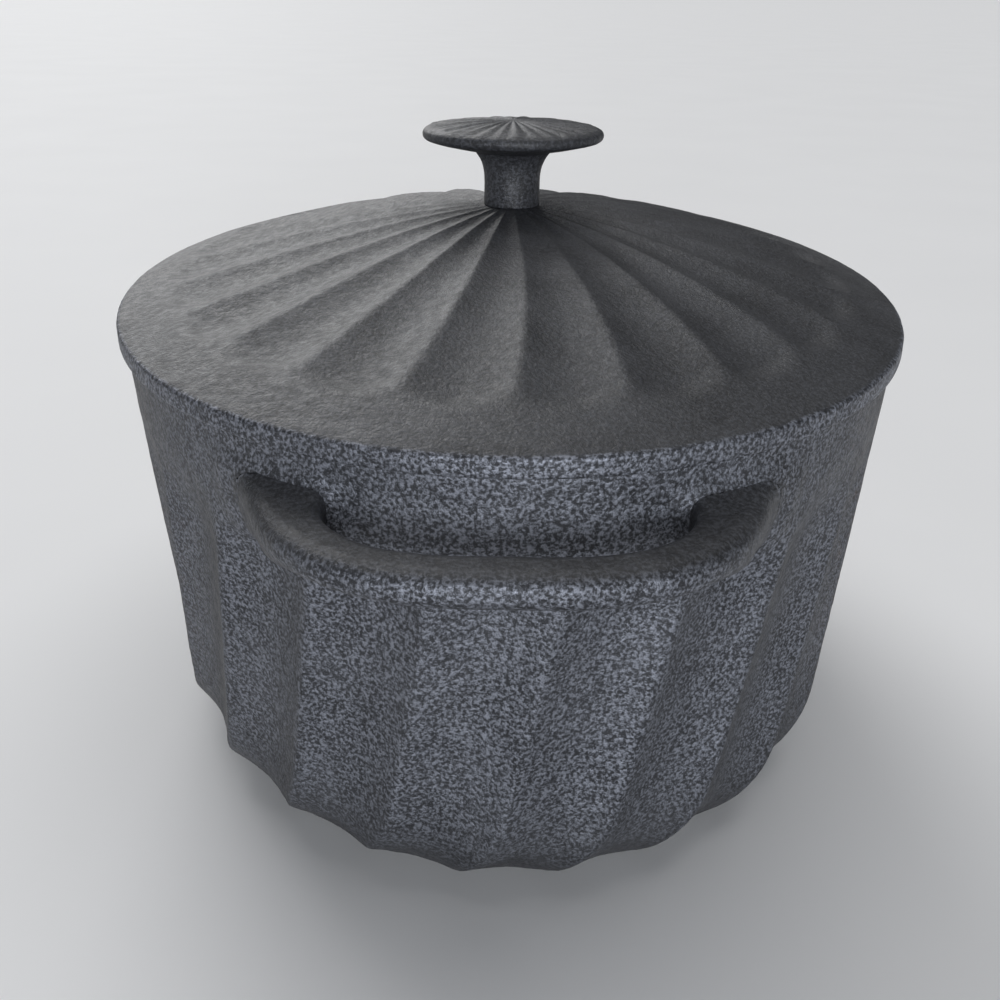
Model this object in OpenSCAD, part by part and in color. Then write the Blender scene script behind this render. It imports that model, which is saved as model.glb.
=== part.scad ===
// Oval cast iron dutch oven with swirled flutes, two loop handles and a domed lid.
// The table is at z = 0, the long axis lies along Y and the front handle is at -Y.

/* [Pot] */
// Width of the pot over its rim
pot_width = 236; // [190:1:290]
// Length of the pot over its rim, without the handles
pot_length = 303; // [260:1:380]
// Height of the pot from the table to its rim
pot_height = 130.5; // [105:0.5:170]
// How far the wall leans in on each side, from the rim to the table
wall_lean = 9.5; // [2:0.5:18]
// Radius of the rounded edge round the bottom
bottom_round = 26; // [12:1:36]
// Thickness of the rim that carries the lid
rim_wall = 5.5; // [4:0.1:8]
// Thickness of the wall behind the deepest line of a flute
flute_wall = 3.2; // [2.5:0.1:6]
// Thickness of the floor
floor_thickness = 5; // [3:0.5:9]

/* [Flutes] */
// Number of flutes round the pot, the same on both halves
flute_count = 24; // [16:2:32]
// Depth of a flute below its two crests
flute_depth = 4; // [1:0.1:5]
// Plain band between the rim and the top ends of the flutes
plain_band = 13; // [8:1:20]
// Height of the arch that ends a flute
flute_arch = 9; // [4:1:14]
// Turn of a crest from the table up to the rim, in degrees
flute_turn = 13.5; // [0:0.5:20]
// Further turn of a crest while it goes round the bottom edge, in degrees
round_turn = 6.5; // [0:0.5:15]

/* [Handles] */
// Drop from the rim to the flat top of a handle
handle_drop = 9.5; // [6:0.5:16]
// Thickness of the handle's bar
handle_thickness = 8.5; // [6:0.5:12]
// Width of the handle's bar, seen from above
bar_width = 11; // [8:0.5:16]
// Gap for the fingers between the wall and the middle of the bar
finger_gap = 17.5; // [14:0.5:26]
// Length of the finger gap along the wall
opening_length = 84; // [70:1:96]
// Width of the handle where its front meets its sides
handle_front = 104; // [100:1:124]
// Width of the handle where it grows out of the wall
handle_root = 127; // [122:1:150]
// Width of the sloping edge round the top of the bar
handle_bevel = 3; // [1:0.5:4]
// How much deeper the handle's roots are than its bar
root_depth = 7; // [2:0.5:12]

/* [Lid] */
// How far the lid's edge stands out over the pot's rim
lid_overhang = 2; // [0.5:0.25:5]
// Height of the lid's ground edge
lid_edge = 4.9; // [3.5:0.1:7]
// Rise of the dome from the edge to the knob's seat
lid_rise = 24.6; // [16:0.2:34]
// Thickness of the lid behind its petals
lid_wall = 4.6; // [3.6:0.1:7]
// Number of petals on the lid, the same on both halves
petal_count = 24; // [16:2:32]
// Depth of a petal below its two crests
petal_depth = 2.2; // [0.5:0.1:3]
// Plain margin between the tips of the petals and the edge, at the sides
lid_margin = 12; // [8:0.5:20]
// Turn of a crest from the knob out to the margin, in degrees
petal_turn = 5; // [0:0.5:12]
// Depth of the ring under the lid that keeps it on the pot
ring_depth = 5; // [3:0.5:9]
// Thickness of that ring
ring_wall = 4; // [3:0.5:6]
// Clearance between that ring and the inside of the rim
ring_clearance = 1.5; // [0.8:0.1:3]

/* [Knob] */
// Diameter of the knob
knob_diameter = 56.4; // [44:0.2:70]
// Height of the knob over its seat on the lid
knob_height = 25.6; // [20:0.2:34]
// Diameter of the knob's stem
stem_diameter = 17.6; // [14:0.2:22]
// Thickness of the knob's edge
knob_edge = 3.6; // [2.5:0.1:5]
// Rise of the knob's top from its edge to its middle
knob_crown = 2.2; // [0.5:0.1:4]

/* [Screw] */
// Diameter of the screw that holds the knob
screw_diameter = 6; // [4:0.5:8]
// Clearance round the screw in the lid, on the radius
screw_clearance = 0.4; // [0.2:0.1:0.8]
// Clearance round the screw in the knob, on the radius
thread_clearance = 0.1; // [0.05:0.05:0.2]
// Diameter of the screw's head
head_diameter = 12; // [10:0.5:14]
// Height of the screw's head
head_height = 3.4; // [2.5:0.1:5]
// Diameter of the washer
washer_diameter = 16; // [15:0.5:18]
// Thickness of the washer
washer_thickness = 1.2; // [0.8:0.1:2]
// How far the screw reaches into the knob
screw_grip = 13; // [8:0.5:15]

/* [Hidden] */
iron = "#2b2a2b";
worn_iron = "#3a3a3d";
steel = "#8d8f92";

// Facets of one flute or petal, from crest to crest
flute_steps = 6;
// Facets of the smooth inside for each two facets of the outside
pair = 2;
pot_columns = flute_count * flute_steps;
lid_columns = petal_count * flute_steps;

rim_a = pot_width / 2;
rim_b = pot_length / 2;
lid_a = rim_a + lid_overhang;
lid_b = rim_b + lid_overhang;

// Angles of the rounded bottom edge, from the table to the wall
round_angles = [90, 65, 45, 25, 0];
// Places of the rows between the rounded edge and the top of a flute
flute_rows = [0.25, 0.5, 0.75, 0.9, 1];
// Height over which a flute comes up to its full depth
flute_fade = 26;
// Share of a flute's depth that is left at the table
foot_share = 0.35;
// The crests turn faster near the table than near the rim
turn_power = 0.75;
// A crest stands this far round at the table, in degrees from the front
turn_at_foot = -4.5;
flute_top = pot_height - plain_band;
// Depth of what is cut away below the table
foot_cut = 1;

// Point of an oval at an angle from the front, and its normal
function oval(a, b, angle) = [a * sin(angle), -b * cos(angle)];
function normal(a, b, angle) = unit([b * sin(angle), -a * cos(angle)]);
function unit(v) = v / norm(v);
function mix(a, b, share) = a + (b - a) * share;
function clamp(x) = max(0, min(1, x));
function ease(x) = clamp(x) * clamp(x) * (3 - 2 * clamp(x));

// Share of the way across a flute, from -1 at one crest to 1 at the next
function across(i) = 2 * (i % flute_steps) / flute_steps - 1;
// Hollow of a flute across its width, and the round end of a flute
function hollow(v) = 1 - v * v;
function arch(v) = 1 - sqrt(max(0, 1 - v * v));

function crest_turn(z) = turn_at_foot + flute_turn * pow(max(0, z) / pot_height, turn_power);
function lean(z) = wall_lean * (1 - z / pot_height);
function fade(z, v) = ease((flute_top - flute_arch * arch(v) - z) / flute_fade);

// Outer point of the pot, drawn in by inset below the rim's size
function pot_point(i, z, inset, depth, turn = 0) =
    let (
        angle = i * 360 / pot_columns + crest_turn(z) + turn,
        a = rim_a - inset,
        b = rim_b - inset,
        p = oval(a, b, angle) - depth * normal(a, b, angle)
    )
    [p[0], p[1], z];

function round_point(i, angle) =
    let (
        z = bottom_round * (1 - sin(angle)),
        inset = lean(z) + bottom_round * (1 - cos(angle)),
        share = mix(1, foot_share, angle / 90)
    )
    pot_point(i, z, inset, flute_depth * share * hollow(across(i)), -round_turn * angle / 90);

function wall_point(i, share) =
    let (
        v = across(i),
        z = mix(bottom_round, flute_top - flute_arch * arch(v), share)
    )
    pot_point(i, z, lean(z), flute_depth * hollow(v) * fade(z, v));

function rim_point(i) = pot_point(i, pot_height, 0, 0);

// Rows of the pot's outside, from the table up to the rim
function pot_rows(from, to) = concat(
    [for (angle = round_angles) [for (i = [from:to]) round_point(i, angle)]],
    [for (share = flute_rows) [for (i = [from:to]) wall_point(i, share)]],
    [[for (i = [from:to]) rim_point(i)]]
);

// Inside of the pot: a plain oval that follows the outside, behind the flutes
inner_bottom_round = max(6, bottom_round - flute_wall);
wall_inset = flute_depth + flute_wall;
function rim_share(z) = ease((pot_height - z) / (plain_band + flute_fade));
function inner_inset(z) = lean(z) + mix(rim_wall, wall_inset, rim_share(z));
inner_levels = [
    for (angle = [90, 60, 30, 0])
        let (z = floor_thickness + inner_bottom_round * (1 - sin(angle)))
        [z, inner_inset(z) + inner_bottom_round * (1 - cos(angle))],
    for (share = [0.4, 0.75, 1])
        let (z = mix(floor_thickness + inner_bottom_round, pot_height, share))
        [z, inner_inset(z)]
];
function inner_ring(columns, z, inset) = [
    for (i = [0:columns - 1])
        let (p = oval(rim_a - inset, rim_b - inset, i * 360 / columns + crest_turn(pot_height)))
        [p[0], p[1], z]
];

// Two triangles for each cell between ring k and ring k + 1 of n points
function band(first, second, n) = [
    for (i = [0:n - 1])
        let (j = (i + 1) % n)
        each [[first + i, second + i, first + j], [first + j, second + i, second + j]]
];
// Three triangles for each pair of points of a fine ring against one of a coarse ring
function step_band(fine, coarse, n) = [
    for (i = [0:n - 1])
        let (
            a = fine + pair * i,
            b = fine + pair * i + 1,
            c = fine + (pair * i + pair) % (pair * n),
            p = coarse + i,
            q = coarse + (i + 1) % n
        )
        each [[a, p, b], [b, p, q], [b, q, c]]
];
function bands(first, rings, n) = [
    for (k = [0:rings - 2]) each band(first + k * n, first + (k + 1) * n, n)
];
function flatten(rows) = [for (row = rows) each row];

// Pot casting as one closed skin: outside, rim and inside.
// Its foot reaches below the table, where it is cut flat.
module pot_casting() {
    foot = [for (i = [0:pot_columns - 1]) round_point(i, 90) - [0, 0, foot_cut]];
    outside = concat([foot], pot_rows(0, pot_columns - 1));
    coarse = pot_columns / pair;
    inside = [
        for (k = [len(inner_levels) - 1:-1:0])
            inner_ring(coarse, inner_levels[k][0], inner_levels[k][1])
    ];
    outer_count = len(outside) * pot_columns;
    last_ring = outer_count + (len(inside) - 1) * coarse;
    polyhedron(
        points = concat(flatten(outside), flatten(inside)),
        faces = concat(
            [[for (i = [0:pot_columns - 1]) i]],
            bands(0, len(outside), pot_columns),
            step_band(outer_count - pot_columns, outer_count, coarse),
            bands(outer_count, len(inside), coarse),
            [[for (i = [coarse - 1:-1:0]) last_ring + i]]
        )
    );
}

// Wedge of the pot's outside, filled in to its middle, that trims a handle to the wall
module wall_wedge(from, to) {
    rows = pot_rows(from, to);
    n = to - from + 1;
    top = (len(rows) - 1) * n;
    count = len(rows) * n;
    cells = [
        for (k = [0:len(rows) - 2], i = [0:n - 2])
            let (a = k * n + i, b = a + n)
            each [[a, b, a + 1], [a + 1, b, b + 1]]
    ];
    polyhedron(
        points = concat(flatten(rows), [[0, 0, 0], [0, 0, pot_height]]),
        faces = concat(
            cells,
            [for (i = [0:n - 2]) [i, i + 1, count]],
            [for (i = [0:n - 2]) [top + i + 1, top + i, count + 1]],
            [for (k = [0:len(rows) - 2]) [k * n, count, (k + 1) * n]],
            [for (k = [0:len(rows) - 2]) [(k + 1) * n - 1, (k + 2) * n - 1, count]],
            [[top, count, count + 1]],
            [[count - 1, count + 1, count]]
        )
    );
}

// Handle: sections along the bar, from one root to the other
handle_top = pot_height - handle_drop;
wall_front = rim_b - lean(handle_top);
handle_sections = 24;
handle_squareness = 3;
// How far inside the wall's front the opening and the bar's outline start
opening_inset = 19;
root_inset = 33;
opening_end = wall_front - opening_inset;
bar_end = wall_front - root_inset;
bar_inner = wall_front + finger_gap;
bar_outer = bar_inner + bar_width;
// Height of the upright front of the bar, and the rounding of its inner edges
bar_face = handle_thickness / 2;
bar_round = 2;
// Drop of the sloping edge, as a share of its width
bevel_slope = 0.7;
// The roots start to deepen here, as a share of the way from the middle to an end
root_start = 0.45;

function squared(x) = sign(x) * pow(abs(x), 2 / handle_squareness);
function bar_inside(t) = [
    opening_length / 2 * squared(sin(90 * t)),
    -mix(opening_end, bar_inner, squared(cos(90 * t)))
];
function bar_outside(t) =
    let (reach = squared(cos(90 * t)))
    [
        mix(handle_root, handle_front, reach) / 2 * squared(sin(90 * t)),
        -mix(bar_end, bar_outer, reach)
    ];
function bar_bottom(t) =
    let (deepening = ease((abs(t) - root_start) / (1 - root_start)))
    handle_top - handle_thickness - root_depth * deepening;

// Eight points round the bar, from the inner top edge over the outside and back underneath
function bar_section(t) =
    let (
        inside = bar_inside(t),
        outside = bar_outside(t),
        inward = unit(inside - outside),
        low = bar_bottom(t),
        face_top = handle_top - handle_bevel * bevel_slope,
        at = function(p, move, z) [p[0] + move * inward[0], p[1] + move * inward[1], z]
    )
    [
        at(inside, -bar_round / 2, handle_top),
        at(outside, handle_bevel, handle_top),
        at(outside, 0, face_top),
        at(outside, 0, face_top - bar_face),
        at(outside, handle_bevel, low),
        at(inside, -bar_round, low),
        at(inside, 0, low + bar_round),
        at(inside, 0, handle_top - bar_round / 2)
    ];

module handle_bar() {
    sections = [for (k = [0:handle_sections]) bar_section(2 * k / handle_sections - 1)];
    n = len(sections[0]);
    last = handle_sections * n;
    polyhedron(
        points = flatten(sections),
        faces = concat(
            [[for (i = [0:n - 1]) i]],
            bands(0, handle_sections + 1, n),
            [[for (i = [n - 1:-1:0]) last + i]]
        )
    );
}

// The wedge reaches this far past the handle's roots, in degrees
wedge_reach = 60;
module handle() {
    side = ceil(wedge_reach / 360 * pot_columns);
    color(worn_iron)
        difference() {
            handle_bar();
            wall_wedge(-side, side);
        }
}

module pot() {
    color(iron)
        difference() {
            pot_casting();
            translate([-pot_width, -pot_length, -2 * foot_cut])
                cube([2 * pot_width, 2 * pot_length, 2 * foot_cut]);
        }
}

module front_handle() {
    handle();
}

module rear_handle() {
    rotate([0, 0, 180]) handle();
}

// Lid: share of the way out from the middle, 1 at the edge
seat_share = 0.085;
lid_chamfer = 0.8;
dome_power = 1.6;
// The crests turn mostly near the margin
petal_turn_power = 2.2;
// Places of the rows along a petal, from the seat to its tip
petal_rows = [0, 0.12, 0.32, 0.56, 0.78, 0.9, 0.96, 1];
// Length of the round end of a petal, as a share of the way out
petal_end = 0.045;
tip_share = 1 - lid_margin / lid_a;
// A petal reaches its full depth here, as a share of the way to its tip
full_depth_share = 0.85;
lid_top = pot_height + lid_edge;
// Length of the steep end of a petal, as a share of the petal
tip_fade = 0.08;

function dome(share) = lid_top + lid_rise * (1 - pow(share, dome_power));
function petal_turn_at(share) = petal_turn * (1 - pow(clamp(share / tip_share), petal_turn_power));
function lid_point(i, share, drop) =
    let (p = oval(lid_a * share, lid_b * share, i * 360 / lid_columns + petal_turn_at(share)))
    [p[0], p[1], dome(max(share, seat_share)) - drop];
function petal_point(i, along) =
    let (
        v = across(i),
        share = mix(seat_share, tip_share - petal_end * arch(v), along),
        full = petal_depth * clamp(share / (full_depth_share * tip_share)) * hollow(v)
    )
    lid_point(i, share, full * ease((1 - along) / tip_fade));

edge_share = 1 - lid_chamfer / lid_a;
function edge_ring(share, z) = [
    for (i = [0:lid_columns - 1])
        let (p = oval(lid_a * share, lid_b * share, i * 360 / lid_columns))
        [p[0], p[1], z]
];

// Underside, from the edge in to the middle, as a height and a draw-in from the lid's edge
ring_inset = lid_overhang + rim_wall + ring_clearance;
under_start = ring_inset + ring_wall;
ring_draft = 0.4;
pad_z = dome(seat_share) - lid_wall - petal_depth / 2;
pad_share = 0.1;
function under_z(share) = min(pad_z, dome(share) - lid_wall - petal_depth * clamp(share));
under_shares = [0.8, 0.64, 0.46, 0.28, pad_share];
function under_ring(columns, a, b, z) = [
    for (i = [0:columns - 1])
        let (p = oval(a, b, i * 360 / columns))
        [p[0], p[1], z]
];

function drawn_in(columns, inset, z) = under_ring(columns, lid_a - inset, lid_b - inset, z);

module lid_casting() {
    n = lid_columns;
    coarse = n / pair;
    top = concat(
        [for (along = petal_rows) [for (i = [0:n - 1]) petal_point(i, along)]],
        [edge_ring(edge_share, lid_top), edge_ring(1, lid_top - lid_chamfer), edge_ring(1, pot_height)]
    );
    inner_share = 1 - under_start / lid_a;
    under = concat(
        [
            drawn_in(coarse, ring_inset, pot_height),
            drawn_in(coarse, ring_inset + ring_draft, pot_height - ring_depth),
            drawn_in(coarse, under_start - ring_draft, pot_height - ring_depth),
            drawn_in(coarse, under_start, under_z(inner_share))
        ],
        [for (s = under_shares) under_ring(coarse, lid_a * s, lid_b * s, under_z(s))]
    );
    outer_count = len(top) * n;
    last_ring = outer_count + (len(under) - 1) * coarse;
    polyhedron(
        points = concat(flatten(top), flatten(under)),
        faces = concat(
            [[for (i = [n - 1:-1:0]) i]],
            [for (f = bands(0, len(top), n)) [f[0], f[2], f[1]]],
            [for (f = step_band(outer_count - n, outer_count, coarse)) [f[0], f[2], f[1]]],
            [for (f = bands(outer_count, len(under), coarse)) [f[0], f[2], f[1]]],
            [[for (i = [0:coarse - 1]) last_ring + i]]
        )
    );
}

seat_z = dome(seat_share);
module lid() {
    color(iron)
        difference() {
            lid_casting();
            translate([0, 0, pad_z - 1])
                cylinder(r = screw_diameter / 2 + screw_clearance, h = seat_z - pad_z + 2, $fn = 48);
        }
}

// Knob: profile from the foot of the stem up, over the edge and across the top
stem_r = stem_diameter / 2;
knob_r = knob_diameter / 2;
// Radius of the flare where it meets the knob, and the drop from the knob's edge to it
neck_r = stem_r * 1.4;
neck_drop = 2.9;
// The flare starts here, as a share of the height of the neck
flare_start = 0.35;
edge_r = knob_edge / 2;
edge_low = knob_height - knob_crown - knob_edge;
neck_z = edge_low - neck_drop;
hole_depth = screw_grip + 1;
knob_profile = concat(
    [[0, 0], [stem_r, 0]],
    [for (s = [0:0.2:1]) [mix(stem_r, neck_r, pow(s, 3)), mix(neck_z * flare_start, neck_z, s)]],
    [for (s = [0.3, 0.6, 0.85]) [mix(neck_r, knob_r, s), mix(neck_z, edge_low, pow(s, 1.3))]],
    [
        for (a = [-60:30:60])
            [knob_r - edge_r * (1 - cos(a)), edge_low + edge_r * (1 + sin(a))]
    ],
    [for (s = [0.85, 0.6, 0.3, 0]) [knob_r * s, knob_height - knob_crown * s * s]]
);

module knob() {
    color(iron)
        translate([0, 0, seat_z])
            difference() {
                rotate_extrude($fn = 96) polygon(knob_profile);
                translate([0, 0, -1])
                    cylinder(r = screw_diameter / 2 + thread_clearance, h = hole_depth + 1, $fn = 48);
            }
}

module screw_washer() {
    color(steel)
        translate([0, 0, pad_z - washer_thickness])
            difference() {
                cylinder(r = washer_diameter / 2, h = washer_thickness, $fn = 64);
                translate([0, 0, -1])
                    cylinder(r = screw_diameter / 2 + screw_clearance, h = washer_thickness + 2, $fn = 48);
            }
}

slot_width = 1.4;
slot_depth = head_height * 0.45;
// Rise of the screw's round head, as a share of its height
head_dome = 0.45;
module knob_screw() {
    head_top = pad_z - washer_thickness;
    head_r = head_diameter / 2;
    screw_length = head_height + seat_z - head_top + screw_grip;
    color(steel)
        difference() {
            translate([0, 0, head_top - head_height])
                rotate_extrude($fn = 64)
                    polygon(concat(
                        [
                            for (s = [0, 0.35, 0.65, 0.85, 1])
                                [head_r * s, head_height * head_dome * pow(s, 2.4)]
                        ],
                        [
                            [head_r, head_height],
                            [screw_diameter / 2, head_height],
                            [screw_diameter / 2, screw_length],
                            [0, screw_length]
                        ]
                    ));
            translate([-head_diameter, -slot_width / 2, head_top - head_height - 1])
                cube([2 * head_diameter, slot_width, slot_depth + 1]);
        }
}

pot();
front_handle();
rear_handle();
lid();
knob();
knob_screw();
screw_washer();
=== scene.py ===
"""Oval cast iron dutch oven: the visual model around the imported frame, at the photograph's angle."""
import math
import bmesh
import bpy
import numpy as np
from mathutils import Matrix, Vector
from mathutils.bvhtree import BVHTree


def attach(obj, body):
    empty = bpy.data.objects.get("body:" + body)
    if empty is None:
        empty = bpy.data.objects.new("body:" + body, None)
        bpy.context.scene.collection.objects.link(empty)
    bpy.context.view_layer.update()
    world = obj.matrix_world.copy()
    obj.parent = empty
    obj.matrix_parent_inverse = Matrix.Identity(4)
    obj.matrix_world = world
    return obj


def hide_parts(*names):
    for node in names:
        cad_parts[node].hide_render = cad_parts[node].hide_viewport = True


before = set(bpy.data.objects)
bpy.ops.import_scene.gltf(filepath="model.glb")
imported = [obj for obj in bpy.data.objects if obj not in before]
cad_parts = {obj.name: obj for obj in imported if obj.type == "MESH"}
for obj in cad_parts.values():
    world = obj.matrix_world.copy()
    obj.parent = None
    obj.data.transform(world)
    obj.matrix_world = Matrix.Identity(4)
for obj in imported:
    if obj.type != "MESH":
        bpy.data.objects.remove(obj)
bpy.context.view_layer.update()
MM = 0.001

# Sizes in mm, the same as in the part's source. The pot: its oval, walls, floor and rounded bottom edge
RIM_A, RIM_B, POT_TOP = 118.0, 151.5, 130.5
WALL_LEAN, BOTTOM_ROUND = 9.5, 26.0
RIM_WALL, FLUTE_WALL, FLOOR = 5.5, 3.2, 5.0

# Flutes: number, hollow, arched top, fade below the plain band, and turns in degrees
FLUTES, FLUTE_DEPTH, FLUTE_ARCH, FLUTE_FADE, PLAIN_BAND = 24, 4.0, 9.0, 26.0, 13.0
FLUTE_TOP = POT_TOP - PLAIN_BAND
TURN_AT_FOOT, FLUTE_TURN, TURN_POWER, ROUND_TURN, FOOT_SHARE = -4.5, 13.5, 0.75, 6.5, 0.35

# Handles: height, bar, opening, and the roots that run back along the wall
HANDLE_DROP, HANDLE_THICK, BAR_WIDTH, FINGER_GAP = 9.5, 8.5, 11.0, 17.5
OPENING, HANDLE_FRONT, HANDLE_ROOT, BEVEL, BEVEL_SLOPE = 84.0, 104.0, 127.0, 3.0, 0.7
ROOT_DEPTH, ROOT_START, ROOT_INSET, OPENING_INSET, SQUARE = 7.0, 0.45, 33, 19, 3.0
HANDLE_TOP = POT_TOP - HANDLE_DROP

# Lid: oval, dome and petals. SEAT, TIP and PETAL_END are shares of the way from the middle to the edge
LID_A, LID_B, LID_TOP, LID_RISE, LID_WALL, LID_MARGIN = 120.0, 153.5, 135.4, 24.6, 4.6, 12
DOME_POWER, PETAL_TURN_POWER, FULL_DEPTH_SHARE, DEEPEN_POWER = 1.6, 2.2, 0.85, 0.8
PETAL_DEPTH, PETAL_TURN, SEAT, PETAL_END = 2.2, 5.0, 0.085, 0.045
TIP = 1 - LID_MARGIN / LID_A

# Knob: head, stem and the two bores of the screw, in the knob and in the lid
KNOB_R, KNOB_H, STEM_R, KNOB_EDGE, KNOB_CROWN = 28.2, 25.6, 8.8, 3.6, 2.2
NECK_WIDEN, NECK_DROP, FLARE_START = 1.4, 2.9, 0.35
BORE_R, BORE_DEPTH, HOLE_R = 3.1, 14.0, 3.4

# Mesh steps: columns across a flute, sections along a handle and round it, columns of the knob
STEPS, HANDLE_STEPS, SECTION_STEPS, KNOB_COLS, CROWN_STEPS = 24, 190, 56, 240, 26


# Numbers

def sin_cos(degrees):
    return math.sin(math.radians(degrees)), math.cos(math.radians(degrees))


def mix(a, b, s):
    return a + (b - a) * s


def ease(x):
    x = np.clip(x, 0, 1)
    return x * x * (3 - 2 * x)


def lattice(i, seed):
    h = (i[..., 0] * 73856093) ^ (i[..., 1] * 19349663) ^ (i[..., 2] * 83492791) ^ (seed * 2654435761)
    h = (h ^ (h >> 13)) * 1274126177 & 0xFFFFFFFF
    h = (h ^ (h >> 16)) * 2246822519 & 0xFFFFFFFF
    return ((h ^ (h >> 13)) & 0xFFFF) / 65535.0 * 2 - 1


def noise(p, size, seed=1):
    """Smooth noise from -1 to 1 at the points p, in mm, with bumps of about that size."""
    q = p / size
    i = np.floor(q).astype(np.int64)
    f = q - i
    f = f * f * f * (f * (f * 6 - 15) + 10)
    total = 0
    for corner in np.ndindex(2, 2, 2):
        c = np.array(corner)
        w = np.prod(np.where(c, f, 1 - f), axis=-1)
        total = total + w * lattice(i + c, seed)
    return total


def grain(p, size, seed=1, octaves=2):
    return sum(noise(p, size / 2 ** k, seed + 7 * k) / 2 ** k for k in range(octaves))


# Meshes

def grid_faces(rows, cols, closed=False):
    """Quads of a grid of rows by cols points that wraps round along each row."""
    k = np.arange(rows if closed else rows - 1)[:, None]
    i = np.arange(cols)[None, :]
    j = (i + 1) % cols
    k2 = (k + 1) % rows
    corners = [k * cols + i, k * cols + j, k2 * cols + j, k2 * cols + i]
    return np.stack(corners, -1).reshape(-1, 4).tolist()


def cap(ring, centre, flip=False):
    """Triangles from a ring of points to its centre."""
    n = len(ring)
    tris = [[ring[i], ring[(i + 1) % n], centre] for i in range(n)]
    return [t[::-1] for t in tris] if flip else tris


def build(name, points, faces):
    mesh = bpy.data.meshes.new(name)
    mesh.from_pydata((np.asarray(points) * MM).tolist(), [], faces)
    mesh.update()
    mesh.polygons.foreach_set("use_smooth", [True] * len(mesh.polygons))
    obj = bpy.data.objects.new(name, mesh)
    bpy.context.scene.collection.objects.link(obj)
    return obj


def tube(name, points, rows, cols, ends):
    """Closed solid from rows of points that wrap round, drawn in to an end point at both ends."""
    first, last = list(range(cols)), [(rows - 1) * cols + i for i in range(cols)]
    faces = grid_faces(rows, cols) + cap(first, rows * cols, True) + cap(last, rows * cols + 1)
    return build(name, np.vstack([points, ends]), faces)


def coords(obj):
    co = np.zeros(len(obj.data.vertices) * 3)
    obj.data.vertices.foreach_get("co", co)
    return co.reshape(-1, 3) / MM


def set_coords(obj, p):
    obj.data.vertices.foreach_set("co", (p * MM).ravel())
    obj.data.update()


def normals(obj):
    n = np.zeros(len(obj.data.vertices) * 3)
    obj.data.vertices.foreach_get("normal", n)
    return n.reshape(-1, 3)


def paint(obj, name, values):
    layer = obj.data.attributes.new(name, "FLOAT", "POINT")
    layer.data.foreach_set("value", np.asarray(values, np.float32))


# Pot

def oval(a, b, degrees):
    t = np.radians(degrees)
    return np.stack([a * np.sin(t), -b * np.cos(t)], -1)


def oval_normal(a, b, degrees):
    t = np.radians(degrees)
    n = np.stack([b * np.sin(t), -a * np.cos(t)], -1)
    return n / np.linalg.norm(n, axis=-1, keepdims=True)


def crest_turn(z):
    return TURN_AT_FOOT + FLUTE_TURN * (np.maximum(0, z) / POT_TOP) ** TURN_POWER


def lean(z):
    return WALL_LEAN * (1 - z / POT_TOP)


def hollow(v, soft=0.05):
    """Hollow of a flute across its width, with its crests a little rounded."""
    d = np.sqrt((1 - abs(v)) ** 2 + soft ** 2) - soft
    return 1 - (1 - np.minimum(d, 1)) ** 2


def arch(v):
    return 1 - np.sqrt(np.maximum(0, 1 - v * v))


POT_COLS = FLUTES * STEPS
I = np.arange(POT_COLS)
ACROSS = 2 * (I % STEPS) / STEPS - 1


def pot_row(z, inset, depth, turn=0.0):
    z = z + np.zeros(POT_COLS)
    angle = I * 360 / POT_COLS + crest_turn(z) + turn
    a, b = RIM_A - inset, RIM_B - inset
    p = oval(a, b, angle) - (depth * np.ones(POT_COLS))[:, None] * oval_normal(a, b, angle)
    return np.column_stack([p, z])


def inner_inset(z):
    return lean(z) + mix(RIM_WALL, FLUTE_DEPTH + FLUTE_WALL, ease((POT_TOP - z) / (PLAIN_BAND + FLUTE_FADE)))


def plain_row(z, inset, share=1):
    """Row of the inside, a plain oval that doesn't follow the swirl."""
    angle = I * 360 / POT_COLS + crest_turn(POT_TOP)
    p = oval((RIM_A - inset) * share, (RIM_B - inset) * share, angle)
    return np.column_stack([p, np.full(POT_COLS, z)])


# The rim's two rounded edges and its flat top, each a drop below the top and an inset from the wall
RIM_ROUND, INNER_ROUND = 0.6, 0.7
RIM = ((0.15, 0.2), (0, 0.7), (0, 2.0), (0, 3.6), (0, RIM_WALL - INNER_ROUND), (0.15, RIM_WALL - 0.2))
FLAT_RINGS = np.linspace(1, 0, 22)[1:-1]


def outer_rows():
    """Rows round the bottom edge, along the flutes and up the plain band."""
    rows = []
    for angle in np.linspace(90, 0, 15):
        s, c = sin_cos(angle)
        z = BOTTOM_ROUND * (1 - s)
        depth = FLUTE_DEPTH * mix(1, FOOT_SHARE, angle / 90) * hollow(ACROSS)
        rows.append(pot_row(z, lean(z) + BOTTOM_ROUND * (1 - c), depth, -ROUND_TURN * angle / 90))
    arch_z = FLUTE_TOP - FLUTE_ARCH * arch(ACROSS)
    for s in np.linspace(0, 1, 62)[1:]:
        z = mix(BOTTOM_ROUND, arch_z, s)
        rows.append(pot_row(z, lean(z), FLUTE_DEPTH * hollow(ACROSS) * ease((arch_z - z) / FLUTE_FADE)))
    for s in np.linspace(0, 1, 12)[1:]:
        z = mix(arch_z, POT_TOP - RIM_ROUND, s)
        rows.append(pot_row(z, lean(z), 0))
    return rows


def inner_rows():
    """Rows down the inside, round its bottom edge and over its floor."""
    inner_round = BOTTOM_ROUND - FLUTE_WALL
    top, foot = POT_TOP - INNER_ROUND, FLOOR + inner_round
    rows = [plain_row(z, inner_inset(z)) for z in np.linspace(top, foot, 40)]
    for angle in np.linspace(0, 90, 16)[1:]:
        s, c = sin_cos(angle)
        z = FLOOR + inner_round * (1 - s)
        rows.append(plain_row(z, inner_inset(z) + inner_round * (1 - c)))
    return rows + [plain_row(FLOOR, inner_inset(FLOOR) + inner_round, s) for s in FLAT_RINGS]


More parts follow.
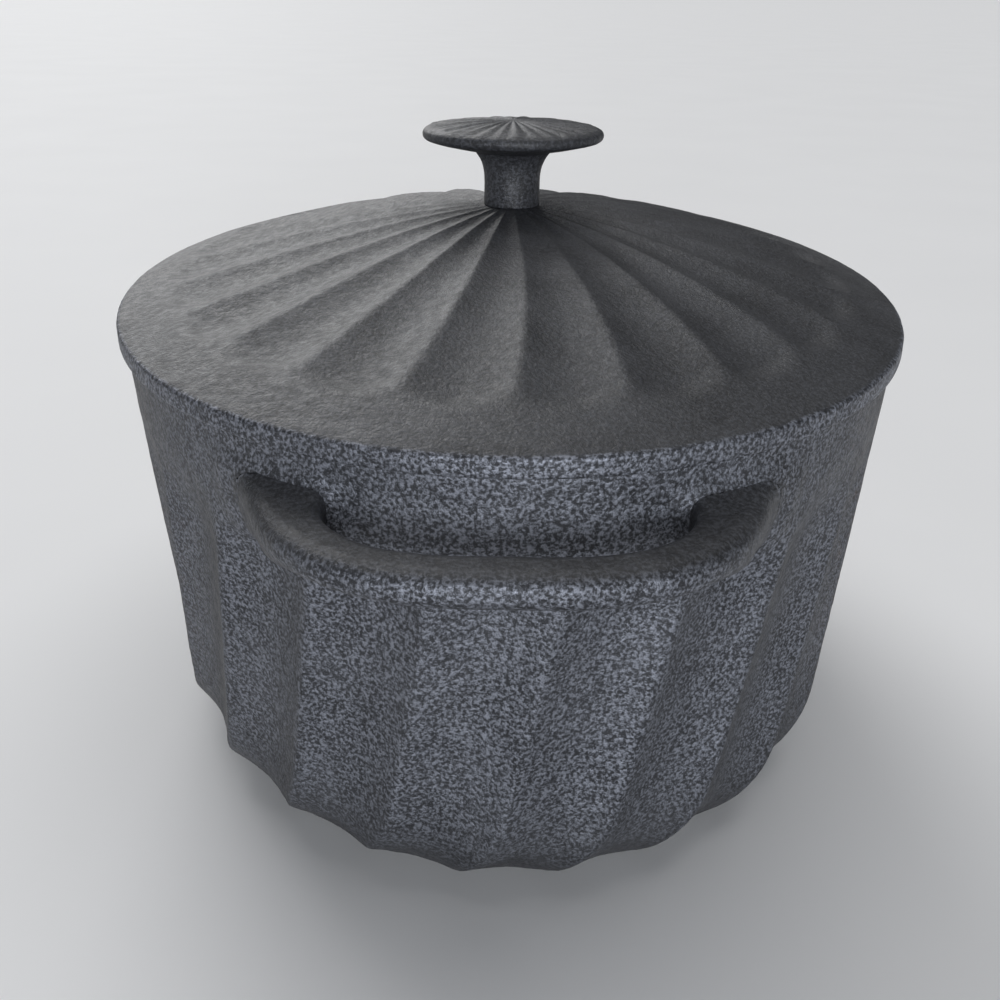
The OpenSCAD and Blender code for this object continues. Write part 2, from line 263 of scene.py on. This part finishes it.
def pot_mesh():
    outer = outer_rows()
    under = [outer[0] * [s, s, 1] for s in FLAT_RINGS]
    rim = [pot_row(POT_TOP - drop, inset, 0) for drop, inset in RIM]
    rows = under[::-1] + outer + rim + inner_rows()
    return tube("casting", np.concatenate(rows), len(rows), POT_COLS, [[0, 0, 0], [0, 0, FLOOR]])


# Handles

WALL_FRONT = RIM_B - lean(HANDLE_TOP)
BAR_END, OPENING_END = WALL_FRONT - ROOT_INSET, WALL_FRONT - OPENING_INSET
BAR_INNER = WALL_FRONT + FINGER_GAP
BAR_OUTER = BAR_INNER + BAR_WIDTH


def squared(x):
    return np.sign(x) * abs(x) ** (2 / SQUARE)


def rounded(corners, cuts):
    """Closed outline through soft corners: each corner is cut twice, then every edge is divided evenly."""
    p = np.asarray(corners, float)
    for share in cuts:
        nxt = np.roll(p, -1, axis=0)
        edge = np.linalg.norm(nxt - p, axis=1, keepdims=True)
        s = np.minimum(0.33, share / np.maximum(edge, 1e-6))
        p = np.stack([p + (nxt - p) * s, nxt - (nxt - p) * s], 1).reshape(-1, 3)
    return p


def resample(p, n):
    closed = np.vstack([p, p[:1]])
    d = np.concatenate([[0], np.cumsum(np.linalg.norm(np.diff(closed, axis=0), axis=1))])
    t = np.linspace(0, d[-1], n, endpoint=False)
    return np.column_stack([np.interp(t, d, closed[:, k]) for k in range(3)])


def handle_section(t):
    """Section of the loop, where t goes from -1 at one root to 1 at the other."""
    reach = squared(math.cos(math.pi / 2 * t))
    side = squared(math.sin(math.pi / 2 * t))
    inside = np.array([OPENING / 2 * side, -mix(OPENING_END, BAR_INNER, reach)])
    width = mix(HANDLE_ROOT, HANDLE_FRONT, reach)
    outside = np.array([width / 2 * side, -mix(BAR_END, BAR_OUTER, reach)])
    inward = (inside - outside) / np.linalg.norm(inside - outside)
    low = HANDLE_TOP - HANDLE_THICK - ROOT_DEPTH * float(ease((abs(t) - ROOT_START) / (1 - ROOT_START)))
    face_top = HANDLE_TOP - BEVEL * BEVEL_SLOPE
    pick = [
        (inside, -1.0, HANDLE_TOP), (outside, BEVEL, HANDLE_TOP), (outside, 0, face_top),
        (outside, 0, face_top - HANDLE_THICK / 2), (outside, BEVEL, low), (inside, -2.0, low),
        (inside, 0, low + 2.0), (inside, 0, HANDLE_TOP - 1.0),
    ]
    corners = [[p[0] + move * inward[0], p[1] + move * inward[1], z] for p, move, z in pick]
    return resample(rounded(corners, (0.9, 0.3)), SECTION_STEPS)


def clamp_in_wall(p, depth=2.6):
    """Pulls the ends of a handle out to a steady depth inside the wall."""
    a, b = RIM_A - lean(p[:, 2]), RIM_B - lean(p[:, 2])
    r = np.hypot(p[:, 0] / a, p[:, 1] / b)
    local = np.hypot(p[:, 0], p[:, 1])
    low = 1 - depth / np.maximum(local, 1)
    k = np.where(r < low, low / np.maximum(r, 1e-6), 1)
    q = p.copy()
    q[:, :2] *= k[:, None]
    return q


def handle_mesh(name, side):
    sections = np.stack([handle_section(t) for t in np.linspace(-1, 1, HANDLE_STEPS)])
    p = clamp_in_wall(sections.reshape(-1, 3))
    p[:, :2] *= -side
    ends = [p[:SECTION_STEPS].mean(0), p[-SECTION_STEPS:].mean(0)]
    return tube(name, p, HANDLE_STEPS, SECTION_STEPS, ends)


def join_solid(target, tool):
    mod = target.modifiers.new("join", "BOOLEAN")
    mod.operation, mod.solver, mod.object = "UNION", "MANIFOLD", tool
    dg = bpy.context.evaluated_depsgraph_get()
    mesh = bpy.data.meshes.new_from_object(target.evaluated_get(dg))
    target.modifiers.clear()
    old = target.data
    target.data = mesh
    bpy.data.meshes.remove(old)
    bpy.data.objects.remove(tool)


def flip_outward(obj):
    bm = bmesh.new()
    bm.from_mesh(obj.data)
    bmesh.ops.recalc_face_normals(bm, faces=bm.faces)
    bm.to_mesh(obj.data)
    bm.free()


def tree_of(obj):
    mesh = obj.data
    mesh.calc_loop_triangles()
    triangles = [tuple(t.vertices) for t in mesh.loop_triangles]
    return BVHTree.FromPolygons([v.co for v in mesh.vertices], triangles)


def distance(tree, p, reach):
    """Distance in mm from each point to the surface in the tree, or reach where it is further."""
    out = np.full(len(p), float(reach))
    for k, v in enumerate(p):
        hit = tree.find_nearest(Vector((v * MM).tolist()), reach * MM)
        if hit[0] is not None:
            out[k] = hit[3] / MM
    return out


def wall_distance(p):
    """Distance in mm outside the plain outer wall of the pot."""
    a, b = RIM_A - lean(p[:, 2]), RIM_B - lean(p[:, 2])
    r = np.hypot(p[:, 0] / a, p[:, 1] / b)
    grad = np.hypot(p[:, 0] / a ** 2, p[:, 1] / b ** 2) / np.maximum(r, 1e-6)
    return (r - 1) / np.maximum(grad, 1e-9)


# Blend of the handles' roots: its width, how far a handle is looked for, and where the roots can be
BLEND, HANDLE_REACH, TOUCHING, FAR = 9.0, 14, 0.02, 99.0
ROOTS_FROM_Y, ROOTS_FROM_Z, BLEND_DEPTH = 112, 88, 2.4


def blend_roots(pot, trees):
    """Swells the wall and the handles softly where they come near each other."""
    p, n = coords(pot), normals(pot)
    off = wall_distance(p)
    near = (abs(p[:, 1]) > ROOTS_FROM_Y) & (p[:, 2] > ROOTS_FROM_Z) & (off > -FLUTE_DEPTH - 1.5)
    idx = np.nonzero(near)[0]
    from_handle = np.full(len(p), FAR)
    for tree in trees:
        from_handle[idx] = np.minimum(from_handle[idx], distance(tree, p[idx], HANDLE_REACH))
    on_handle = from_handle < TOUCHING
    by_wall = np.where(on_handle, np.maximum(0, 1 - np.maximum(off, 0) / BLEND), 0)
    by_bar = np.where(~on_handle, np.maximum(0, 1 - from_handle / BLEND), 0)
    h = np.where(near & (off > -BLEND_DEPTH), by_wall + by_bar, 0)
    below_rim = ease((POT_TOP - 1.5 - p[:, 2]) / 5)
    swell = h * h * BLEND / 4 * below_rim
    set_coords(pot, p + n * swell[:, None])
    return on_handle


def make_casting():
    pot = pot_mesh()
    flip_outward(pot)
    handles = [handle_mesh("front_bar", -1), handle_mesh("rear_bar", 1)]
    trees = []
    for handle in handles:
        flip_outward(handle)
        trees.append(tree_of(handle))
    for handle in handles:
        join_solid(pot, handle)
    pot.data.polygons.foreach_set("use_smooth", [True] * len(pot.data.polygons))
    return pot, blend_roots(pot, trees)


# Camera fitted to the photograph, in metres and degrees
CAMERA_PLACE, CAMERA_PITCH, CAMERA_ROLL, CAMERA_YAW = (-0.0014, -0.3728, 0.2264), 24.6, 1.0, -0.1
SENSOR_WIDTH, LENS = 36, 41.4


def main_camera():
    (pitch_sin, pitch_cos), (roll_sin, roll_cos) = sin_cos(CAMERA_PITCH), sin_cos(CAMERA_ROLL)
    yaw_sin, yaw_cos = sin_cos(CAMERA_YAW)
    forward = Vector((yaw_sin * pitch_cos, yaw_cos * pitch_cos, -pitch_sin))
    level = Vector((yaw_cos, -yaw_sin, 0))
    upright = level.cross(forward)
    right = roll_cos * level + roll_sin * upright
    up = -roll_sin * level + roll_cos * upright
    cam = bpy.data.objects.new("camera", bpy.data.cameras.new("camera"))
    bpy.context.scene.collection.objects.link(cam)
    place = Matrix((right, up, -forward)).transposed().to_4x4()
    place.translation = Vector(CAMERA_PLACE)
    cam.matrix_world = place
    cam.data.sensor_width, cam.data.lens = SENSOR_WIDTH, LENS
    cam.data.clip_start, cam.data.clip_end = 0.01, 50
    bpy.context.scene.camera = cam


# Lid

def dome(share):
    return LID_TOP + LID_RISE * (1 - share ** DOME_POWER)


def petal_turn(share):
    return PETAL_TURN * (1 - np.clip(share / TIP, 0, 1) ** PETAL_TURN_POWER)


def lid_row(share, drop=0.0, z=None):
    """Row at a share of the way out, drop below the dome, or at the height z."""
    share = share + np.zeros(POT_COLS)
    p = oval(1, 1, I * 360 / POT_COLS + petal_turn(share)) * [LID_A, LID_B] * share[:, None]
    height = dome(np.maximum(share, SEAT)) - drop if z is None else np.full(POT_COLS, z)
    return np.column_stack([p, height])


def lid_ring(inset, z):
    p = oval(LID_A - inset, LID_B - inset, I * 360 / POT_COLS)
    return np.column_stack([p, np.full(POT_COLS, z)])


# The lid's ground edge and the ring under it that keeps it in place: insets, each with a height
EDGE_ROUND = 1.1
EDGE_TOP = ((0.55, 0.28), (0.18, 0.62), (0, EDGE_ROUND))
EDGE_FOOT = ((0.12, 0.3), (0.4, 0.05), (0.8, 0))
UNDER_RING = ((3, 0), (6, 0), (8.6, 0), (9.0, -0.5), (9.2, -2.6), (9.4, -4.6),
              (9.9, -5), (11.0, -5), (12.1, -5), (12.6, -4.6), (12.8, -1))
UNDER_START, PAD_SHARE = 13, 0.1


def lid_top_rows():
    """Rows from the petals' inner ends out over the margin to the edge."""
    ends = TIP - PETAL_END * arch(ACROSS)
    rows = []
    for along in np.concatenate([np.linspace(0, 0.88, 52), np.linspace(0.88, 1, 15)[1:]]):
        share = mix(SEAT, ends, along)
        deepen = np.clip(share / (FULL_DEPTH_SHARE * TIP), 0, 1) ** DEEPEN_POWER
        full = PETAL_DEPTH * deepen * hollow(ACROSS, 0.07)
        rows.append(lid_row(share, full * ease((1 - along) / 0.09)))
    for s in np.linspace(0, 1, 9)[1:]:
        rows.append(lid_row(mix(ends, 1 - EDGE_ROUND / LID_A, s)))
    return rows


def lid_edge_rows():
    top = dome(1 - EDGE_ROUND / LID_A)
    rows = [lid_ring(inset, top - drop) for inset, drop in EDGE_TOP]
    rows += [lid_ring(0, z) for z in np.linspace(top - EDGE_ROUND, POT_TOP + 0.7, 6)[1:]]
    return rows + [lid_ring(inset, POT_TOP + z) for inset, z in EDGE_FOOT + UNDER_RING]


def lid_mesh():
    """The lid as one closed skin round the screw's hole."""
    seat_z = dome(SEAT)
    seat = lid_row(SEAT)[:, :2]
    hole = oval(HOLE_R, HOLE_R, I * 360 / POT_COLS + petal_turn(SEAT))
    rows = [np.column_stack([mix(hole, seat, s), np.full(POT_COLS, seat_z)]) for s in (0, 0.35, 0.7)]
    rows += lid_top_rows() + lid_edge_rows()
    pad = dome(SEAT) - LID_WALL - PETAL_DEPTH / 2
    for share in np.linspace(1 - UNDER_START / LID_A, PAD_SHARE, 34):
        rows.append(lid_row(share, z=min(pad, dome(share) - LID_WALL - PETAL_DEPTH * share)))
    inner = lid_row(PAD_SHARE)[:, :2]
    rows += [np.column_stack([mix(inner, hole, s), np.full(POT_COLS, pad)]) for s in (0.5, 1)]
    rows.append(np.column_stack([hole, np.full(POT_COLS, (pad + seat_z) / 2)]))
    return build("lid_shell", np.concatenate(rows), grid_faces(len(rows), POT_COLS, closed=True))


# Knob

# Faint rays on the knob's top: height, waves round the knob and phase in degrees
RAYS = ((0.16, 30, 0), (0.10, 17, 40))


def knob_profile():
    """Radius and height from the bore, out along the foot, up the stem and over the head."""
    neck_r = STEM_R * NECK_WIDEN
    low = KNOB_H - KNOB_CROWN - KNOB_EDGE
    neck_z = low - NECK_DROP
    half = KNOB_EDGE / 2
    pts = [(BORE_R, BORE_DEPTH), (BORE_R, BORE_DEPTH / 2), (BORE_R, 0.0)]
    pts += [(6.0, 0.0), (8.4, 0.0), (8.7, 0.15), (STEM_R, 0.5)]
    for s in np.linspace(0, 1, 12):
        pts.append((mix(STEM_R, neck_r, s ** 3), mix(neck_z * FLARE_START, neck_z, s)))
    for s in np.linspace(0, 1, 11)[1:]:
        pts.append((mix(neck_r, KNOB_R - 1.5, s), mix(neck_z, low, s ** 1.3)))
    for angle in range(-70, 71, 14):
        s, c = sin_cos(angle)
        pts.append((KNOB_R - half * (1 - c), low + half * (1 + s)))
    pts += [(KNOB_R * s, KNOB_H - KNOB_CROWN * s * s) for s in np.linspace(0.93, 0.04, CROWN_STEPS)]
    return np.array(pts)


def knob_mesh():
    prof = knob_profile()
    angle = np.arange(KNOB_COLS) * 360 / KNOB_COLS
    r, z = prof[:, 0][:, None], prof[:, 1][:, None]
    crown = (np.arange(len(prof)) >= len(prof) - CROWN_STEPS)[:, None]
    crown = crown * ease((r - 1.5) / 8) * ease((KNOB_R - 0.6 - r) / 3)
    rays = sum(height * np.sin(np.radians(angle * waves + phase)) for height, waves, phase in RAYS)
    xy = oval(1, 1, angle)
    points = np.stack([r * xy[:, 0], r * xy[:, 1], z + crown * rays[None, :]], -1).reshape(-1, 3)
    points[:, 2] += dome(SEAT)
    ends = [[0, 0, dome(SEAT) + BORE_DEPTH], [0, 0, dome(SEAT) + KNOB_H]]
    return tube("knob_casting", points, len(prof), KNOB_COLS, ends)


# Iron skin

WAVES, BUMPS = 14, 3.2


def roughen(obj, coarse, fine, keep, seed):
    """Uneven sand-cast skin as real relief: slow waves and small lumps."""
    p, n = coords(obj), normals(obj)
    lift = coarse * grain(p, WAVES, seed) + fine * grain(p, BUMPS, seed + 20)
    set_coords(obj, p + n * (lift * keep)[:, None])


# Materials

class Nodes:
    """Small helper that adds and links shader nodes."""

    def __init__(self, name):
        self.mat = bpy.data.materials.new(name)
        self.mat.use_nodes = True
        self.tree = self.mat.node_tree
        self.tree.nodes.clear()
        self.out = self.tree.nodes.new("ShaderNodeOutputMaterial")
        self.bsdf = self.tree.nodes.new("ShaderNodeBsdfPrincipled")
        self.tree.links.new(self.bsdf.outputs[0], self.out.inputs[0])
        self.coord = self.tree.nodes.new("ShaderNodeTexCoord").outputs["Object"]

    def put(self, socket, value):
        if isinstance(value, bpy.types.NodeSocket):
            self.tree.links.new(value, socket)
        elif value is not None:
            socket.default_value = value

    def noise(self, size, detail=2.0, rough=0.5, distort=0.0, coord=None):
        node = self.tree.nodes.new("ShaderNodeTexNoise")
        self.put(node.inputs["Vector"], coord or self.coord)
        node.inputs["Scale"].default_value = 1 / (size * MM)
        node.inputs["Detail"].default_value = detail
        node.inputs["Roughness"].default_value = rough
        node.inputs["Distortion"].default_value = distort
        node.inputs["Lacunarity"].default_value = 2.0
        return node.outputs["Fac"]

    def attr(self, name):
        node = self.tree.nodes.new("ShaderNodeAttribute")
        node.attribute_name = name
        return node.outputs["Fac"]

    def math(self, op, a, b=None, c=None, clamp=False):
        node = self.tree.nodes.new("ShaderNodeMath")
        node.operation, node.use_clamp = op, clamp
        for k, v in enumerate((a, b, c)):
            self.put(node.inputs[k], v)
        return node.outputs[0]

    def fit(self, value, lo, hi, out_lo=0.0, out_hi=1.0):
        node = self.tree.nodes.new("ShaderNodeMapRange")
        node.interpolation_type = "SMOOTHSTEP"
        for k, v in enumerate((value, lo, hi, out_lo, out_hi)):
            self.put(node.inputs[k], v)
        return node.outputs[0]

    def blend(self, factor, a, b, kind="MIX"):
        node = self.tree.nodes.new("ShaderNodeMix")
        node.data_type, node.blend_type = "RGBA", kind
        self.put(node.inputs["Factor"], factor)
        self.put(node.inputs["A"], a if isinstance(a, bpy.types.NodeSocket) else (*a, 1))
        self.put(node.inputs["B"], b if isinstance(b, bpy.types.NodeSocket) else (*b, 1))
        return node.outputs["Result"]

    def bump(self, height, distance, strength=1.0):
        node = self.tree.nodes.new("ShaderNodeBump")
        node.inputs["Strength"].default_value = strength
        node.inputs["Distance"].default_value = distance * MM
        self.put(node.inputs["Height"], height)
        return node.outputs[0]

    def stretched(self, sx, sy, sz):
        node = self.tree.nodes.new("ShaderNodeMapping")
        self.put(node.inputs["Vector"], self.coord)
        node.inputs["Scale"].default_value = (sx, sy, sz)
        return node.outputs[0]


DARK = (0.009, 0.009, 0.010)
CHAR = (0.026, 0.0265, 0.029)
# Silver: painted sheen on the pot's front-facing wall, and bare metal on the lid's ground edge
SILVER = (0.26, 0.275, 0.32)
BROWN = (0.055, 0.040, 0.029)
RUST = (0.16, 0.075, 0.040)
PALE = (0.42, 0.40, 0.36)
STEEL_DARK, STEEL_LIGHT = (0.30, 0.29, 0.27), (0.46, 0.45, 0.43)
FLOOR_DARK, FLOOR_LIGHT = (0.78, 0.78, 0.785), (0.82, 0.82, 0.825)

# Sizes in mm of the iron's grain, lumps, rust flecks, rust edges and clouds, and its relief
GRAIN, LUMPS, FLECKS, RUST_EDGE, CLOUDS, RELIEF = 0.9, 2.6, 3.5, 5, 22, 0.4


def iron_skin():
    """Sand-cast iron from attributes painted on the mesh: wear and painted silver sheen, rust, smooth and
    pale.
    """
    m = Nodes("cast_iron_skin")
    wear_and_sheen, rust, smooth, pale = (m.attr(k) for k in ("wear_and_sheen", "rust", "smooth", "pale"))
    fine = m.noise(GRAIN, 3, 0.62, 0.2)
    mid = m.noise(LUMPS, 3, 0.55)
    wide = m.noise(CLOUDS, 3, 0.5)
    speck = m.fit(fine, 0.40, 0.66)
    base = m.blend(m.fit(wide, 0.3, 0.7), DARK, CHAR)
    # Painted sheen: silver specks, the grain's glints, come in where the wear and sheen attribute is high,
    # and the iron turns metallic there.
    shine = m.math("MULTIPLY", m.math("MULTIPLY_ADD", speck, 0.9, 0.1), wear_and_sheen)
    base = m.blend(shine, base, SILVER)
    rough_edge = m.math("MULTIPLY_ADD", m.noise(RUST_EDGE, 4, 0.65), 0.9, -0.45)
    rough_edge = m.math("ADD", rust, rough_edge)
    rusty = m.math("MULTIPLY", m.fit(rough_edge, 0.25, 0.75), rust, clamp=True)
    tone = m.blend(m.fit(m.noise(FLECKS, 4, 0.6), 0.42, 0.68), BROWN, RUST)
    base = m.blend(m.math("MULTIPLY", rusty, 0.8), base, tone)
    base = m.blend(m.math("MULTIPLY", pale, m.fit(mid, 0.3, 0.62), clamp=True), base, PALE)
    m.put(m.bsdf.inputs["Base Color"], base)
    bare = m.math("MULTIPLY_ADD", rusty, -0.8, 0.8)
    m.put(m.bsdf.inputs["Metallic"], m.math("MULTIPLY", wear_and_sheen, bare, clamp=True))
    m.put(m.bsdf.inputs["Roughness"], m.fit(mid, 0.3, 0.7, 0.45, 0.58))
    rough_amount = m.math("SUBTRACT", 1.0, smooth, clamp=True)
    height = m.math("MULTIPLY_ADD", mid, 0.9, fine)
    height = m.math("MULTIPLY", height, m.math("MULTIPLY_ADD", rough_amount, 0.8, 0.2))
    m.bsdf.inputs["Specular IOR Level"].default_value = 0.35
    m.put(m.bsdf.inputs["Normal"], m.bump(height, RELIEF))
    return m.mat


def steel_skin():
    m = Nodes("dull_steel")
    streak = m.noise(1.2, 3, 0.6, 0, m.stretched(1, 1, 6))
    m.put(m.bsdf.inputs["Base Color"], m.blend(m.fit(streak, 0.35, 0.65), STEEL_DARK, STEEL_LIGHT))
    m.put(m.bsdf.inputs["Roughness"], m.fit(streak, 0.3, 0.7, 0.35, 0.5))
    m.bsdf.inputs["Metallic"].default_value = 1.0
    m.put(m.bsdf.inputs["Normal"], m.bump(streak, 0.05, 0.5))
    return m.mat


def floor_skin():
    m = Nodes("pale_floor")
    m.put(m.bsdf.inputs["Base Color"], m.blend(m.noise(160, 3, 0.5), FLOOR_DARK, FLOOR_LIGHT))
    m.bsdf.inputs["Roughness"].default_value = 0.7
    m.bsdf.inputs["Specular IOR Level"].default_value = 0.2
    return m.mat


# Painting the masks

def paint_iron(obj, wear_and_sheen, rust, smooth, pale):
    for name, values in (("wear_and_sheen", wear_and_sheen), ("rust", rust), ("smooth", smooth), ("pale", pale)):
        paint(obj, name, np.clip(values, 0, 1))


def dress(obj, material, body, slot, *nodes):
    obj.data.materials.clear()
    obj.data.materials.append(material)
    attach(obj, body)
    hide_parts(*nodes)


def add_casting(skin):
    """Pot with both handles: painted silver sheen where it faces the front, a little rust on the long sides.
    """
    casting, on_handle = make_casting()
    p, facing = coords(casting), normals(casting)
    z = p[:, 2]
    outside = wall_distance(p) > -FLUTE_DEPTH - 1.2
    front = np.clip(-facing[:, 1], 0, 1) * outside
    # Painted sheen: silver and metal rise where the outer wall faces the front, as front light would fall,
    # over a small even wear.
    wear_and_sheen = np.where(outside, 0.15 + 0.6 * ease((front - 0.3) / 0.6) * ease((z - 4) / 40), 0.1)
    rust = 0.35 * ease((abs(p[:, 0]) - 60) / 40) * outside
    smooth = np.where(outside, 0.0, 0.5) + 0.7 * on_handle * ease((facing[:, 2] - 0.8) / 0.15)
    paint_iron(casting, wear_and_sheen, rust, smooth, 0 * z)
    off_the_seats = ease((z - 0.05) / 1.5) * (1 - ease((z - 128.8) / 1.2))
    roughen(casting, 0.10, 0.07, keep=off_the_seats, seed=3)
    dress(casting, skin, "pot", "pot_iron", "pot", "front_handle", "rear_handle")


def add_lid(skin):
    """Lid: smooth on top, silver on its ground edge."""
    lid = lid_mesh()
    flip_outward(lid)
    p = coords(lid)
    z = p[:, 2]
    at_edge = np.hypot(p[:, 0] / LID_A, p[:, 1] / LID_B) > 0.99
    edge = at_edge & (z < LID_TOP + 0.2) & (z > POT_TOP + 0.2)
    paint_iron(lid, 0.12 + 0.7 * edge, 0 * z, 0.35 + 0 * z, 0 * z)
    off_the_seats = ease((z - POT_TOP - 0.2) / 0.8) * (1 - ease((z - 158.8) / 0.5))
    roughen(lid, 0.08, 0.045, keep=off_the_seats, seed=9)
    dress(lid, skin, "lid", "lid_iron", "lid")


def add_knob(skin):
    knob = knob_mesh()
    flip_outward(knob)
    z = coords(knob)[:, 2]
    paint_iron(knob, 0.15 + 0 * z, 0 * z, 0.4 + 0 * z, 0 * z)
    roughen(knob, 0.12, 0.05, keep=ease((z - dome(SEAT) - 0.1) / 1.5), seed=15)
    dress(knob, skin, "lid", "knob_iron", "knob")


def colour_fasteners():
    """The screw and the washer stay as they are in the frame, with steel on them."""
    steel = steel_skin()
    for node in ("knob_screw", "screw_washer"):
        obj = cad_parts[node]
        obj.data.materials.clear()
        obj.data.materials.append(steel)


# Stage

# Metres from the middle to the floor's edges. Lights: azimuth, elevation, spread, strength and colour
FLOOR_REACH = 60.0
LIGHTS = {
    "key": (5, 6, 30, 4.0, (0.93, 0.96, 1.0)),
    "back_left": (205, 30, 40, 1.5, (1, 1, 1)),
    "top": (170, 75, 60, 1.1, (1, 1, 1)),
}
SKY_LIGHT, SKY_STRENGTH, BACKDROP = (0.93, 0.96, 1.0, 1), 0.12, (0.86, 0.87, 0.88, 1)


def make_floor():
    mesh = bpy.data.meshes.new("floor")
    s = FLOOR_REACH
    mesh.from_pydata([(-s, -s, 0), (s, -s, 0), (s, s, 0), (-s, s, 0)], [], [(0, 1, 2, 3)])
    obj = bpy.data.objects.new("floor", mesh)
    bpy.context.scene.collection.objects.link(obj)
    mesh.materials.append(floor_skin())


def soft_light(name, azimuth, elevation, spread, strength, colour):
    """Broad soft light from far away. Azimuth 0 is behind the camera and 90 on the right."""
    (turn_sin, turn_cos), (rise_sin, rise_cos) = sin_cos(azimuth), sin_cos(elevation)
    back = Vector((turn_sin * rise_cos, -turn_cos * rise_cos, rise_sin))
    light = bpy.data.lights.new(name, "SUN")
    light.angle, light.energy, light.color = math.radians(spread), strength, colour
    obj = bpy.data.objects.new(name, light)
    bpy.context.scene.collection.objects.link(obj)
    obj.rotation_mode = "QUATERNION"
    obj.rotation_quaternion = (-back).to_track_quat("-Z", "Y")


def make_world():
    world = bpy.data.worlds.new("studio")
    bpy.context.scene.world = world
    world.use_nodes = True
    tree = world.node_tree
    tree.nodes.clear()
    out = tree.nodes.new("ShaderNodeOutputWorld")
    lit, seen = tree.nodes.new("ShaderNodeBackground"), tree.nodes.new("ShaderNodeBackground")
    mixer = tree.nodes.new("ShaderNodeMixShader")
    lit.inputs[0].default_value, lit.inputs[1].default_value = SKY_LIGHT, SKY_STRENGTH
    seen.inputs[0].default_value, seen.inputs[1].default_value = BACKDROP, 1.0
    path = tree.nodes.new("ShaderNodeLightPath")
    tree.links.new(path.outputs["Is Camera Ray"], mixer.inputs[0])
    tree.links.new(lit.outputs[0], mixer.inputs[1])
    tree.links.new(seen.outputs[0], mixer.inputs[2])
    tree.links.new(mixer.outputs[0], out.inputs[0])


main_camera()
iron = iron_skin()
add_casting(iron)
add_lid(iron)
add_knob(iron)
colour_fasteners()
make_floor()
make_world()
for name, values in LIGHTS.items():
    soft_light(name, *values)
bpy.context.scene.view_settings.view_transform = "Standard"
